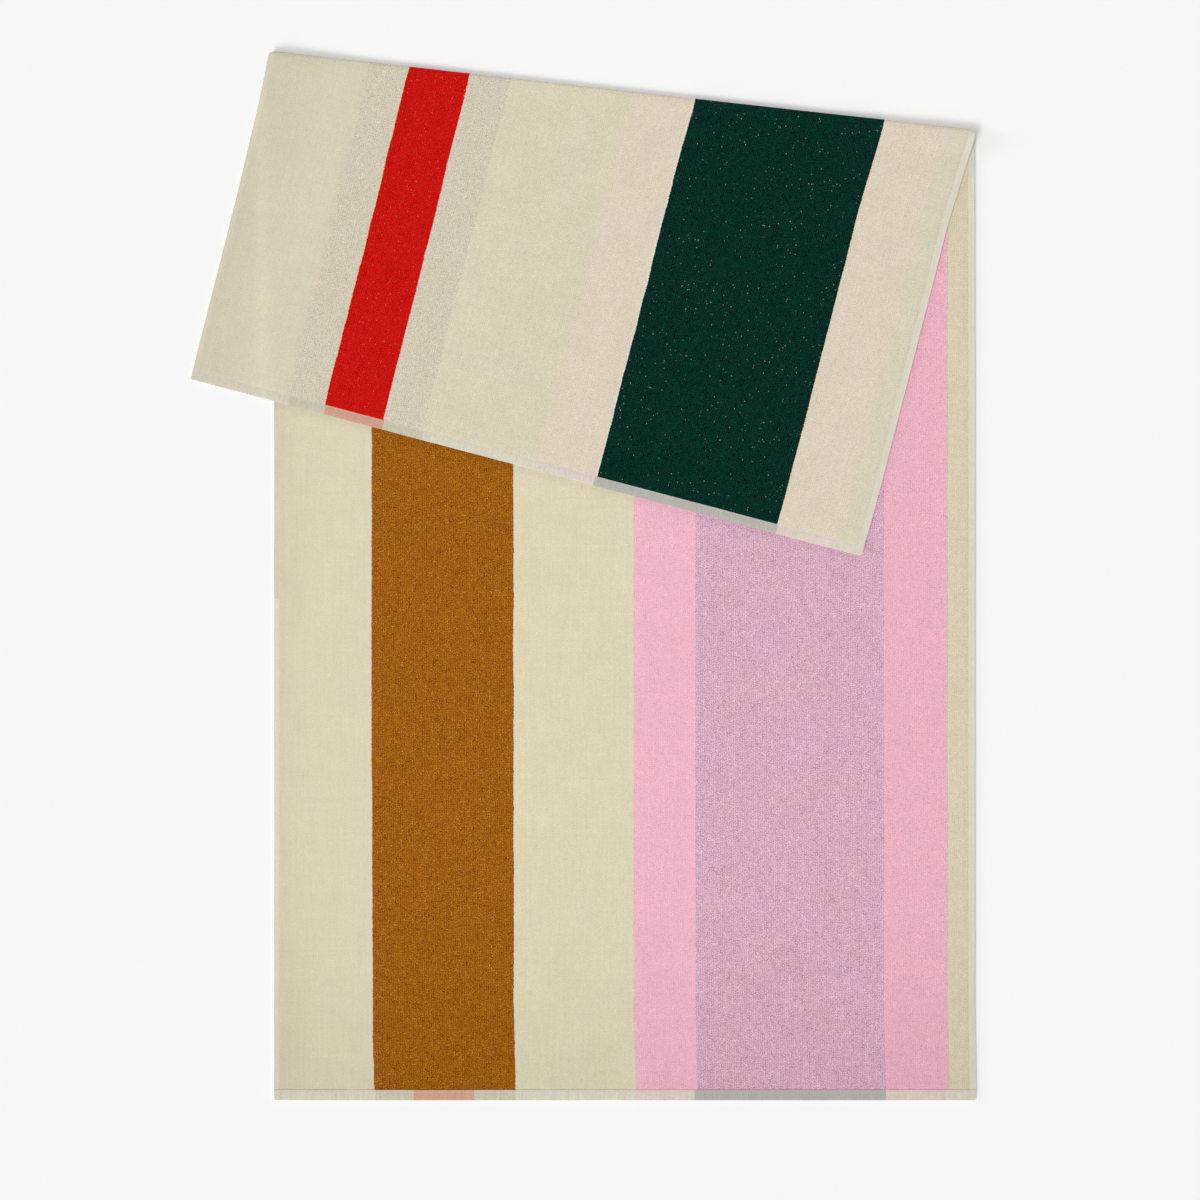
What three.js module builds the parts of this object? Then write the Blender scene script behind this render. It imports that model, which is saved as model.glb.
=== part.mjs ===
// A cotton bath towel, laid flat and face up, with its top end turned down over the front on a
// slant, so that part of the reverse shows. It is one woven length: the flat selvedges at its
// sides and the stitched hems at its ends are the same cloth, only thinner.
//
// Millimetres, +Z up. X runs across the towel and Y along it. The origin is the middle of the
// footprint, on the surface that the towel lies on.

import * as THREE from 'three';
import { mergeVertices } from 'three/addons/utils/BufferGeometryUtils.js';

// ---------------------------------------------------------------- driving dimensions

const cloth = {
  width: 700,          // from selvedge to selvedge
  pile: 2.6,           // thickness where both faces are looped
  selvedge: 1.3,       // thickness of the flat-woven side edges
  selvedgeWidth: 7,
  hem: 2.0,            // thickness of the turned and stitched ends
  hemWidth: 10,
  rise: 2,             // run over which the pile rises beside a selvedge or a hem
};

// The part that lies on the surface.
const body = {
  left: -308.9,        // x of its left edge
  hem: -522.45,        // y of its hem
  lean: 3,             // how far it drifts to the left on its way up to the fold
  leanFrom: 166,       // y where that drift starts
  leanTo: 420,         // y where it is complete
};

// The slanting fold. Its outermost line runs down to the right from the towel's highest point.
const fold = {
  top: 523.45,         // y of the outermost line at the towel's left edge
  slant: THREE.MathUtils.degToRad(6.42),
  insideRadius: 1.2,
  leftPuff: 1.9,       // how much larger that radius is at the left end, and over what run
  leftPuffRun: 110,
  rightPuff: 2.0,      // the same at the right end
  rightPuffRun: 165,
  crown: 0.5,          // how far the flap swells up behind the bend
  settle: 24,          // run in which it comes down from the bend onto the body
};

// The part that is turned down. Its hem is a straight line between its two corners.
const flap = {
  leftCorner: new THREE.Vector2(-391.1, 198.3),
  rightCorner: new THREE.Vector2(276.0, 22.2),
  leftBow: 1.2,        // how far each side edge bows outwards at its middle
  rightBow: 1.8,
  gap: 0.9,            // air between the two layers
  edgeClearance: 4,    // run past the body's left edge before the flap starts to drop
  dropRun: 30,         // run in which it reaches the surface
};

// Low, soft ridges, where the towel isn't quite flat. Each is a hump with its centre, its half
// length, its half width, the turn of its length from X in degrees, and its height.
const ridges = [
  { layer: 'body', x: -262, y: -170, halfLength: 240, halfWidth: 46, turn: 87, height: 0.8 },
  { layer: 'body', x: -10, y: -120, halfLength: 250, halfWidth: 75, turn: 92, height: 0.6 },
  { layer: 'body', x: 215, y: -240, halfLength: 210, halfWidth: 90, turn: 78, height: 0.7 },
  { layer: 'body', x: 335, y: -330, halfLength: 130, halfWidth: 60, turn: 115, height: 0.6 },
  { layer: 'flap', x: -330, y: 265, halfLength: 80, halfWidth: 44, turn: 48, height: 1.2 },
  { layer: 'flap', x: -60, y: 290, halfLength: 150, halfWidth: 80, turn: 75, height: 0.9 },
  { layer: 'flap', x: 190, y: 220, halfLength: 160, halfWidth: 70, turn: 70, height: 0.8 },
];

// How finely the cloth is divided: columns across it, and rows from the body's hem to the
// flap's. A row's place in a zone is a share of that zone's length.
const columnSpans = [
  { to: cloth.selvedgeWidth, steps: 1 },
  { to: cloth.selvedgeWidth + cloth.rise, steps: 1 },
  { to: 129, steps: 8 },
  { to: cloth.width - cloth.selvedgeWidth - cloth.rise, steps: 14 },
  { to: cloth.width - cloth.selvedgeWidth, steps: 1 },
  { to: cloth.width, steps: 1 },
];
const rowSteps = { body: 24, bend: 8, settling: 4, flap: 8 };

const hemBand = cloth.hemWidth + cloth.rise;

// ---------------------------------------------------------------- where the cloth lies

const foldLine = new THREE.Vector2(Math.cos(fold.slant), -Math.sin(fold.slant));
const foldNormal = new THREE.Vector2(Math.sin(fold.slant), Math.cos(fold.slant));

const { lerp, smoothstep } = THREE.MathUtils;

// x of the body's left edge at height y.
function bodyEdge(y) {
  return body.left - body.lean * smoothstep(y, body.leanFrom, body.leanTo);
}

// Radius of the middle of the cloth round the bend. The fold puffs up towards its two ends.
function bendRadius(u) {
  const left = fold.leftPuff * (1 - smoothstep(u, 0, fold.leftPuffRun));
  const right = fold.rightPuff * (1 - smoothstep(cloth.width - u, 0, fold.rightPuffRun));
  return fold.insideRadius + left + right + cloth.pile / 2;
}

// The point on the bend's axis where the column at u leaves the body.
function bendStart(u) {
  const x = body.left - body.lean + u;
  const outermost = fold.top - Math.tan(fold.slant) * u;
  const outside = bendRadius(u) + cloth.pile / 2;
  return new THREE.Vector2(x, outermost - outside / Math.cos(fold.slant));
}

// The point on the bend's axis where the same column comes out onto the flap. The cloth's length
// crosses the fold at a slant, so that it moves along the axis while it goes round.
function bendEnd(u) {
  const shift = Math.PI * bendRadius(u) * Math.tan(fold.slant);
  return bendStart(u).addScaledVector(foldLine, -shift);
}

function flapHem(u) {
  return flap.leftCorner.clone().lerp(flap.rightCorner, u / cloth.width);
}

function zoneLengths(u) {
  return {
    body: bendStart(u).y - body.hem,
    bend: Math.PI * bendRadius(u) / Math.cos(fold.slant),
    flap: flapHem(u).distanceTo(bendEnd(u)),
  };
}

// Height that the ridges of one layer add at a place.
function ridgeHeight(layer, x, y) {
  let height = 0;
  for (const ridge of ridges) {
    if (ridge.layer !== layer) continue;
    const turn = THREE.MathUtils.degToRad(ridge.turn);
    const dx = x - ridge.x;
    const dy = y - ridge.y;
    const along = (dx * Math.cos(turn) + dy * Math.sin(turn)) / ridge.halfLength;
    const across = (dy * Math.cos(turn) - dx * Math.sin(turn)) / ridge.halfWidth;
    const reach = Math.hypot(along, across);
    if (reach < 1) height += ridge.height * Math.cos(reach * Math.PI / 2) ** 2;
  }
  return height;
}

// Each of these gives the middle of the cloth's thickness, the way its reverse faces, and how
// far the reverse has become the upper side: 0 on the body, 1 from the middle of the bend on.
function onBody(u, distance) {
  const y = body.hem + distance;
  const x = bodyEdge(y) + u;
  const z = cloth.pile / 2 + ridgeHeight('body', x, y);
  return { point: new THREE.Vector3(x, y, z), reverse: new THREE.Vector3(0, 0, -1), turned: 0 };
}

function onBend(u, share) {
  const angle = (share - 0.5) * Math.PI;
  const start = bendStart(u).lerp(bendEnd(u), share);
  const outwards = foldNormal.clone().multiplyScalar(Math.cos(angle));
  const reverse = new THREE.Vector3(outwards.x, outwards.y, Math.sin(angle));
  const radius = bendRadius(u);
  const point = new THREE.Vector3(start.x, start.y, cloth.pile / 2 + radius);
  const turned = smoothstep(share, 0, 0.5);
  return { point: point.addScaledVector(reverse, radius), reverse, turned };
}

function onFlap(u, distance) {
  const start = bendEnd(u);
  const end = flapHem(u);
  const share = distance / start.distanceTo(end);
  const bow = lerp(-flap.leftBow, flap.rightBow, u / cloth.width) * Math.sin(share * Math.PI);
  const place = start.lerp(end, share).addScaledVector(foldLine, bow);

  // It rests on the body, and past the body's left edge it drops to the surface.
  const past = bodyEdge(place.y) - flap.edgeClearance - place.x;
  const resting = (cloth.pile + flap.gap) * (1 - smoothstep(past, 0, flap.dropRun));
  const carried = ridgeHeight('body', place.x, place.y);
  const own = ridgeHeight('flap', place.x, place.y);
  const low = cloth.pile / 2 + resting + carried + own;
  const high = cloth.pile / 2 + 2 * bendRadius(u);
  const swell = fold.crown * Math.sin(Math.PI * Math.min(distance / fold.settle, 1));
  const z = lerp(high, low, smoothstep(distance, 0, fold.settle)) + swell;
  return {
    point: new THREE.Vector3(place.x, place.y, z),
    reverse: new THREE.Vector3(0, 0, 1),
    turned: 1,
  };
}

// How much thinner than the pile the cloth is at a distance from its edge and from its hem.
function thinning(fromEdge, fromHem) {
  const edge = 1 - (fromEdge - cloth.selvedgeWidth) / cloth.rise;
  const hem = 1 - (fromHem - cloth.hemWidth) / cloth.rise;
  const clamp = (value) => THREE.MathUtils.clamp(value, 0, 1);
  return Math.max(
    clamp(edge) * (cloth.pile - cloth.selvedge),
    clamp(hem) * (cloth.pile - cloth.hem),
  );
}

// ---------------------------------------------------------------- rows and columns

function shares(steps) {
  return Array.from({ length: steps }, (_, step) => (step + 1) / steps);
}

function columnPlaces() {
  const places = [0];
  for (const span of columnSpans) {
    const from = places[places.length - 1];
    places.push(...shares(span.steps).map((share) => lerp(from, span.to, share)));
  }
  return places;
}

// The rows that cross the towel, from the body's hem, round the bend, to the flap's hem. Each
// takes u and gives the cloth there, with its distance from the nearer hem.
function rowMakers() {
  const rows = [];
  const bodyRow = (distance) => rows.push((u) => {
    const length = zoneLengths(u).body;
    return { ...onBody(u, distance(length)), fromHem: distance(length) };
  });
  const flapRow = (distance) => rows.push((u) => {
    const length = zoneLengths(u).flap;
    return { ...onFlap(u, distance(length)), fromHem: length - distance(length) };
  });

  bodyRow(() => 0);
  bodyRow(() => cloth.hemWidth);
  bodyRow(() => hemBand);
  for (const share of shares(rowSteps.body)) {
    bodyRow((length) => lerp(hemBand, length, share));
  }
  for (const share of shares(rowSteps.bend)) {
    rows.push((u) => ({ ...onBend(u, share), fromHem: Infinity }));
  }
  for (const share of shares(rowSteps.settling)) {
    flapRow(() => fold.settle * share);
  }
  for (const share of shares(rowSteps.flap)) {
    flapRow((length) => lerp(fold.settle, length - hemBand, share));
  }
  flapRow((length) => length - cloth.hemWidth);
  flapRow((length) => length);
  return rows;
}

// ---------------------------------------------------------------- the towel

// A thin box with one cell for each row and column is the flat cloth: its top is the front and
// its underside the reverse. Each of its vertices then moves to where the cloth lies.
function towelGeometry() {
  const columns = columnPlaces();
  const rows = rowMakers();
  const across = columns.length - 1;
  const along = rows.length - 1;
  const box = new THREE.BoxGeometry(across, along, 1, across, along, 1);
  box.deleteAttribute('normal');
  box.deleteAttribute('uv');
  const geometry = mergeVertices(box);

  const vertex = new THREE.Vector3();
  const position = geometry.attributes.position;
  for (let index = 0; index < position.count; index += 1) {
    vertex.fromBufferAttribute(position, index);
    const isFront = vertex.z > 0;
    const u = columns[Math.round(vertex.x + across / 2)];
    const row = rows[Math.round(vertex.y + along / 2)];
    const { point, reverse, turned, fromHem } = row(u);
    const thin = thinning(Math.min(u, cloth.width - u), fromHem);

    // The side that faces down stays level, so the upper or outer side takes the thinning.
    const frontSide = thin * (1 - turned) - cloth.pile / 2;
    const reverseSide = cloth.pile / 2 - thin * turned;
    point.addScaledVector(reverse, isFront ? frontSide : reverseSide);
    position.setXYZ(index, point.x, point.y, point.z);
  }
  geometry.computeVertexNormals();
  return geometry;
}

const terry = new THREE.MeshStandardMaterial({ color: 0xdcd4b9, roughness: 0.95, metalness: 0 });
const towel = new THREE.Mesh(towelGeometry(), terry);
towel.name = 'towel';

const model = new THREE.Group();
model.add(towel);

export default model;
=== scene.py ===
# %% [markdown]
# # A striped terry bath towel with its top end turned down
#
# The towel is one length of cotton terry, 70 x 140 cm. It lies face up on a flat surface, and its
# top end is turned down over the front on a slant, so the reverse shows on the turned-down flap.
# A jacquard loom gives the two faces different stripes: where one face shows a yarn as loops, the
# other face shows the yarn that was left behind.
#
# The frame holds the towel's plain CAD solid. This lesson builds the cloth again inside the same
# box, with its pile, selvedges, hems, creases and yarn colours.

# %% Load the frame
import math

import bmesh
import bpy
from mathutils import Matrix, Vector, noise


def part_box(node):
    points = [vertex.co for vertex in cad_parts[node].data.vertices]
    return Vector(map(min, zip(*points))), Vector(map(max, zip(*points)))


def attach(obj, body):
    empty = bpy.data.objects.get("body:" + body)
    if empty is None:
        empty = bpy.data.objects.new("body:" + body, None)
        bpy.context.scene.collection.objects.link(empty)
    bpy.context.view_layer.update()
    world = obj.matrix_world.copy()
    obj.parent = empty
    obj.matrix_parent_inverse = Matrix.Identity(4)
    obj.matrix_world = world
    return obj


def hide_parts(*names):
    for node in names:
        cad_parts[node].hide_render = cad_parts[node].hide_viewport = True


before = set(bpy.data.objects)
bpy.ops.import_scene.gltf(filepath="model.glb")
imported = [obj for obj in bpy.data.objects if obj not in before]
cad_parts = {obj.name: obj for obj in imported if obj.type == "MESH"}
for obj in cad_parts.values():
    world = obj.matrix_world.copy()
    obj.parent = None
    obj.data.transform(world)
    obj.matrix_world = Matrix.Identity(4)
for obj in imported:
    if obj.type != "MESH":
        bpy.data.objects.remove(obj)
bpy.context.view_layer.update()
towel_low, towel_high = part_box("towel")
mm = 0.001
print("CAD towel, in mm:", [round(side / mm, 1) for side in towel_high - towel_low])

# %% [markdown]
# ## The camera
#
# The camera hangs straight above the towel and looks down. A long lens keeps the towel's sides
# parallel. A little more floor is left below the hem than above the fold.

# %% Hang the camera
camera_height = 2826.5 * mm
camera_lens, camera_sensor = 85.0, 36.0
camera_offset = Vector((16.06, -23.67, 0.0)) * mm

camera = bpy.data.objects.new("camera", bpy.data.cameras.new("camera"))
bpy.context.scene.collection.objects.link(camera)
camera.data.lens = camera_lens
camera.data.sensor_width = camera_sensor
camera.location = camera_offset + Vector((0.0, 0.0, camera_height))
bpy.context.scene.camera = camera
print("camera at", [round(value, 3) for value in camera.location])

# %% [markdown]
# ## How the cloth is cut, and how it lies
#
# Every point of the cloth has two flat coordinates: how far it is from the left selvedge, and how
# far it is along the cloth from the hem of the lying part. The towel's shape is then a rule that
# turns those two numbers into a place in space. The lying part is flat, the bend is half a
# cylinder whose axis is slanted, and the flap runs back over the lying part down to its own hem.
#
# Lengths are measured from the CAD box, because the towel's hem, its right edge, its fold and the
# flap's left corner are what touch that box.

# %% Sizes of the cloth and of its three parts
cloth_width = 698.7 * mm
pile_thickness = 2.6 * mm
selvedge_thickness = 1.3 * mm
hem_thickness, hem_width = 2.0 * mm, 10.0 * mm
left_selvedge, right_selvedge = 4.9 * mm, 6.4 * mm

# The lying part leans a little to the left as it nears the fold, and its right edge swings out
# by the hem.
right_inset, hem_inset = 1.3 * mm, 0.05 * mm
body_left = towel_high.x - cloth_width - right_inset
body_hem = towel_low.y + hem_inset
body_lean = 3.0 * mm
lean_from, lean_to = body_hem + 688.0 * mm, body_hem + 942.0 * mm
corner_run = 12.0 * mm
hem_flare, hem_flare_run = 1.5 * mm, 120.0 * mm

# The fold puffs up towards both ends, and the flap settles within a short run of it.
fold_slant = math.radians(6.42)
fold_top = towel_high.y + 0.9 * mm
fold_hollow = 0.3 * mm
fold_reach = 0.9 * mm
corner_fall, corner_fall_run = 1.2 * mm, 4.0 * mm
inside_radius = 1.2 * mm
left_puff, left_puff_run = 1.9 * mm, 110.0 * mm
right_puff, right_puff_run = 2.0 * mm, 165.0 * mm
fold_crown = 0.5 * mm
fold_settle = 24.0 * mm

# A share here is of the flap's length, from 0 at the fold to 1 at its hem.
flap_left_corner = Vector((towel_low.x - 0.9 * mm, towel_low.y + 719.0 * mm, 0.0))
flap_right_corner = Vector((towel_low.x + 668.8 * mm, towel_low.y + 542.2 * mm, 0.0))
left_hollow, left_hollow_end = 1.0 * mm, 10 / 11
right_bow, right_lean_end = 0.3 * mm, 0.24
corner_tuck, corner_tuck_start = 1.4 * mm, 0.88
flap_gap = 0.4 * mm
edge_droop, edge_droop_run = 0.5 * mm, 30.0 * mm
drop_start, drop_run = 2.0 * mm, 17.0 * mm

fold_line = Vector((math.cos(fold_slant), -math.sin(fold_slant), 0.0))
fold_normal = Vector((math.sin(fold_slant), math.cos(fold_slant), 0.0))
print("lying part from x", round(body_left / mm, 1), "to",
      round((body_left + cloth_width) / mm, 1), "mm")

# %% [markdown]
# ## Soft creases
#
# A towel that has been folded in a cupboard is never quite flat. Each crease here is a low hump
# with a centre, a half length, a half width, a turn and a height. The long ones are barely there,
# and the short ones on the flap are where its corners were handled.

# %% Creases and ripples
creases = {
    "body": [
        # x, y, half length, half width, turn, height
        (-262, -170, 240, 46, 87, 0.8),
        (-10, -120, 250, 75, 92, 0.6),
        (215, -240, 210, 90, 78, 0.7),
        (335, -330, 130, 60, 115, 0.6),
    ],
    "flap": [
        (-330, 265, 80, 44, 48, 1.2),
        (-60, 290, 150, 80, 75, 0.9),
        (190, 220, 160, 70, 70, 0.8),
        (-352, 248, 38, 7, -56, 0.35),
        (-366, 262, 30, 6, -60, 0.25),
        (268, 66, 22, 7, 40, 0.35),
        (270, 28, 46, 26, 15, 0.6),
    ],
}


def smooth(value, low, high):
    """0 below low, 1 above high, and an S-shaped ramp between them."""
    share = min(max((value - low) / (high - low), 0.0), 1.0)
    return share * share * (3.0 - 2.0 * share)


def crease_height(layer, x, y):
    """Height that the creases of one layer add at a place."""
    height = 0.0
    for middle_x, middle_y, half_length, half_width, turn, rise in creases[layer]:
        turn = math.radians(turn)
        dx, dy = x / mm - middle_x, y / mm - middle_y
        along = (dx * math.cos(turn) + dy * math.sin(turn)) / half_length
        across = (dy * math.cos(turn) - dx * math.sin(turn)) / half_width
        reach = math.hypot(along, across)
        if reach < 1.0:
            height += rise * math.cos(reach * math.pi / 2) ** 2
    return height * mm


def unevenness(u, v, size, seed):
    """Smooth chance unevenness from -1 to 1, with humps of about that size."""
    return noise.noise(Vector((u / size, v / size, seed)))


print(sum(len(layer) for layer in creases.values()), "creases")

# %% [markdown]
# ## Where a point of the cloth lies
#
# Each rule below gives three things: the middle of the cloth's thickness, the way in which the
# reverse faces there, and how far the reverse has become the upper side. The last goes from 0 on
# the lying part to 1 on the flap, and it decides which face is level and which one dips towards
# the thinner edges.

# %% Rules for the lying part, the bend and the flap
def body_edge(y):
    """x of the lying part's left edge."""
    return body_left - body_lean * smooth(y, lean_from, lean_to)


def bend_radius(u):
    """Radius of the cloth's middle round the bend. The fold puffs up towards its two ends."""
    puff = left_puff * (1.0 - smooth(u, 0.0, left_puff_run))
    puff += right_puff * (1.0 - smooth(cloth_width - u, 0.0, right_puff_run))
    return inside_radius + pile_thickness / 2 + puff


def bend_start(u):
    """Where the column at u leaves the lying part, on the bend's axis."""
    across = u / cloth_width
    outermost = fold_top - math.tan(fold_slant) * u
    outermost -= fold_hollow * math.sin(math.pi * across)
    outermost -= corner_fall * (1.0 - smooth(min(u, cloth_width - u), 0.0, corner_fall_run))
    x = body_left - body_lean * (1.0 - across) + fold_reach * across + u
    bend_outside = bend_radius(u) + pile_thickness / 2
    return Vector((x, outermost - bend_outside / math.cos(fold_slant), 0.0))


def bend_end(u):
    """Where the same column comes out onto the flap."""
    return bend_start(u) - fold_line * (math.pi * bend_radius(u) * math.tan(fold_slant))


def flap_hem(u):
    """Where the column ends, at the flap's hem."""
    return flap_left_corner.lerp(flap_right_corner, u / cloth_width)


def part_lengths(u):
    """How long the cloth is, at u, on the lying part, round the bend and down the flap."""
    return {
        "body": bend_start(u).y - body_hem,
        "bend": math.pi * bend_radius(u) / math.cos(fold_slant),
        "flap": (flap_hem(u) - bend_end(u)).length,
    }


def on_body(u, distance):
    """A place on the lying part, from its distance from the hem."""
    y = body_hem + distance
    fold_y, across = bend_start(u).y, u / cloth_width
    right_edge = body_left + fold_reach * smooth(y, fold_y - corner_run, fold_y)
    right_edge += hem_flare * (1.0 - smooth(distance, 0.0, hem_flare_run))
    x = body_edge(y) * (1.0 - across) + right_edge * across + u
    z = pile_thickness / 2 + crease_height("body", x, y)
    return Vector((x, y, z)), Vector((0.0, 0.0, -1.0)), 0.0


def on_bend(u, share):
    """A place on the bend, from its share of the half turn."""
    angle = (share - 0.5) * math.pi
    middle = bend_start(u).lerp(bend_end(u), share)
    radius = bend_radius(u)
    middle.z = pile_thickness / 2 + radius
    reverse = fold_normal * math.cos(angle) + Vector((0.0, 0.0, math.sin(angle)))
    return middle + reverse * radius, reverse, smooth(share, 0.0, 0.5)


def on_flap(u, distance):
    """A place on the flap, from its distance from the bend."""
    start, end = bend_end(u), flap_hem(u)
    share, across = distance / (end - start).length, u / cloth_width
    left_move = left_hollow * math.sin(math.pi * min(share / left_hollow_end, 1.0)) ** 2
    right_move = right_bow * math.sin(math.pi * share)
    right_move -= (body_lean + fold_reach) * (smooth(share, 0.0, right_lean_end) - share)
    tuck = corner_tuck * smooth(share, corner_tuck_start, 1.0) * across ** 4
    move = left_move * (1.0 - across) + right_move * across - tuck
    place = start.lerp(end, share) + fold_line * move
    past_edge = body_edge(place.y) - drop_start - place.x
    resting = (pile_thickness + flap_gap) * (1.0 - smooth(past_edge, 0.0, drop_run))
    low = pile_thickness / 2 + resting
    low += crease_height("body", place.x, place.y) + crease_height("flap", place.x, place.y)
    low -= edge_droop * (1.0 - smooth(cloth_width - u, 0.0, edge_droop_run))
    high = pile_thickness / 2 + 2 * bend_radius(u)
    swell = fold_crown * math.sin(math.pi * min(distance / fold_settle, 1.0))
    down = smooth(distance, 0.0, fold_settle)
    place.z = high + (low - high) * down + swell
    return place, Vector((0.0, 0.0, 1.0)), 1.0


lengths_left, lengths_right = part_lengths(0.0), part_lengths(cloth_width)
cloth_length = (sum(lengths_left.values()) + sum(lengths_right.values())) / 2
print("cloth is", round(cloth_length / mm), "mm long on average")

# %% [markdown]
# ## The section of the edges
#
# The loops stop short of every edge. A selvedge is a flat-woven strip thinner than the pile, and
# the outermost loops lean out over it, so the step between them is soft. A hem is the cloth's own
# end, turned to the reverse and stitched down along the foot of the pile. On the front the
# turning pulls a sharp crease beside the pile, and on the reverse the turned edge lies flat.
#
# Each section is a list of distances in from the edge and of how much thinner than the pile the
# cloth is there. A selvedge is woven in the middle of the cloth's thickness, so it hangs a little
# above what the towel lies on. The side of a hem that faces down only has the shallow sink of the
# stitching. The weave places say at which listed place the loops begin.

# %% Sections of selvedge and hem
selvedge_drop, selvedge_slope = 0.55 * mm, 5.0 * mm
selvedge_lift = pile_thickness - selvedge_thickness - selvedge_drop
hem_drop, hem_band = pile_thickness - hem_thickness, 13.4 * mm
selvedge_weave_place = 7
hem_weave_places = {"body": 5, "flap": 6}


def profile(start, drop, places):
    """Part of a section, from places in millimetres: distances past start, losses past drop."""
    return [(start + distance * mm, drop + loss * mm) for distance, loss in places]


def selvedge_section(width):
    """Distance from the edge, and loss of thickness, across a selvedge and up the pile."""
    edge = profile(0.0, selvedge_drop, [(0.0, 0.08), (0.10, 0.01), (0.30, 0.0), (1.2, -0.02)])
    foot = profile(width, selvedge_drop, [
        (-2.0, -0.05), (-1.4, -0.12), (-0.8, -0.08), (0.0, -0.14), (1.0, -0.26), (2.4, -0.42)])
    return edge + foot + [(width + selvedge_slope, 0.0)]


def selvedge_under_section(width):
    """The same for the side of a selvedge that faces down."""
    edge = profile(0.0, selvedge_lift, [(0.0, 0.10), (0.3, 0.0)])
    return edge + [(width - 0.6 * mm, selvedge_lift), (width + 3.0 * mm, 0.0)]


front_hem_section = profile(0.0, hem_drop, [
    (0.0, 0.35), (0.3, 0.10), (0.9, 0.0), (9.0, -0.02), (10.0, -0.20),
    (10.3, -0.04), (10.6, 0.58), (11.1, 0.62), (11.6, -0.20)]) + [(hem_band, 0.0)]
reverse_hem_section = profile(0.0, hem_drop, [
    (0.0, 0.75), (0.3, 0.45), (1.2, 0.15), (2.1, 0.0), (7.6, 0.0), (8.3, 0.10),
    (9.4, 0.04), (10.0, -0.22), (10.6, -0.42), (12.0, -0.56)]) + [(hem_band, 0.0)]
under_section = profile(0.0, 0.0, [
    (0.0, 0.30), (0.4, 0.08), (1.0, 0.0), (7.6, 0.0), (8.5, 0.30),
    (10.4, 0.10), (10.8, 0.30), (11.5, 0.40), (11.9, 0.0)])


def read_section(section, distance):
    """The loss of thickness at a distance from the edge, straight between the listed places."""
    for (near, near_loss), (far, far_loss) in zip(section, section[1:]):
        if distance <= far:
            return near_loss + (far_loss - near_loss) * (distance - near) / (far - near)
    return section[-1][1]


left_section, right_section = selvedge_section(left_selvedge), selvedge_section(right_selvedge)
left_under = selvedge_under_section(left_selvedge)
right_under = selvedge_under_section(right_selvedge)
print("left selvedge is flat for", round(left_section[selvedge_weave_place][0] / mm, 1), "mm")

# %% [markdown]
# ## Rows and columns
#
# The cloth is divided finely where it changes, which is at the selvedges, the hems and the bend,
# and evenly elsewhere. A row belongs to one part of the towel. Its distance from the start of
# that part is a share of the part's length plus an offset, so the rows follow the slanted fold
# and both hems at once.

# %% Places of the rows and columns
columns_between = 132
rows_on_body, rows_on_bend, rows_settling, rows_on_flap = 186, 16, 9, 66

left_places = [distance for distance, _ in left_section]
right_places = [cloth_width - distance for distance, _ in reversed(right_section)]
first, last = left_places[-1], right_places[0]
middle_places = [
    first + (last - first) * step / columns_between for step in range(1, columns_between)
]
columns = left_places + middle_places + right_places

body_hem_places = [distance for distance, _ in front_hem_section]
flap_hem_places = [distance for distance, _ in reverse_hem_section]
rows = [("body", 0.0, distance) for distance in body_hem_places]
for step in range(1, rows_on_body + 1):
    share = step / rows_on_body
    rows.append(("body", share, hem_band * (1.0 - share)))
rows += [("bend", (step + 1) / rows_on_bend, 0.0) for step in range(rows_on_bend)]
rows += [("flap", 0.0, fold_settle * (step + 1) / rows_settling) for step in range(rows_settling)]
for step in range(1, rows_on_flap + 1):
    share = step / rows_on_flap
    rows.append(("flap", share, fold_settle * (1.0 - share) - hem_band * share))
rows += [("flap", 1.0, -distance) for distance in reversed(flap_hem_places[:-1])]
print(len(columns), "columns and", len(rows), "rows")

# %% [markdown]
# ## Rounded corners and edges that waver
#
# Woven edges are never ruled lines, and a turned hem rounds the cloth's corners. Both are small
# moves in the flat cloth, made before it is laid down.

# %% Small moves in the flat cloth
corner_radius = {"body": 2.6 * mm, "flap": 1.6 * mm}
edge_waver, waver_length, waver_depth = 0.28 * mm, 38 * mm, 60 * mm
hem_seed, edge_seed = {"body": 7.0, "flap": 9.0}, {"left": 4.0, "right": 3.0}


def round_corner(from_edge, from_hem, radius):
    """Moves a point near a corner from the corner's square onto its rounding."""
    across, along = 1.0 - from_edge / radius, 1.0 - from_hem / radius
    if across <= 0.0 or along <= 0.0:
        return from_edge, from_hem
    pull = max(across, along) / math.hypot(across, along)
    return (1.0 - across * pull) * radius, (1.0 - along * pull) * radius


def waver_of(place, seed):
    """How far an edge strays from its line at a place along it."""
    return edge_waver * noise.noise(Vector((place / waver_length, seed, 0.5)))


print("corners rounded to", {part: round(radius / mm, 1) for part, radius in corner_radius.items()})

# %% [markdown]
# ## From the flat cloth to the cloth as it lies
#
# Three steps turn a point of the flat cloth into a place on the front and one on the reverse.
# First come the small moves at the edges, then the rules for the three parts lay the point down,
# and last the two faces go half a thickness to either side, less what the section of the edge
# takes off. Low lumps keep the pile from being ruled flat.

# %% Lay one point of the cloth
# Height, size and seed of the lumps in the pile.
lumps = ((0.09 * mm, 16 * mm, 1.5), (0.054 * mm, 7 * mm, 4.5))
lump_share_at_edges = 0.25
selvedge_share_at_hem = 0.55


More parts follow.
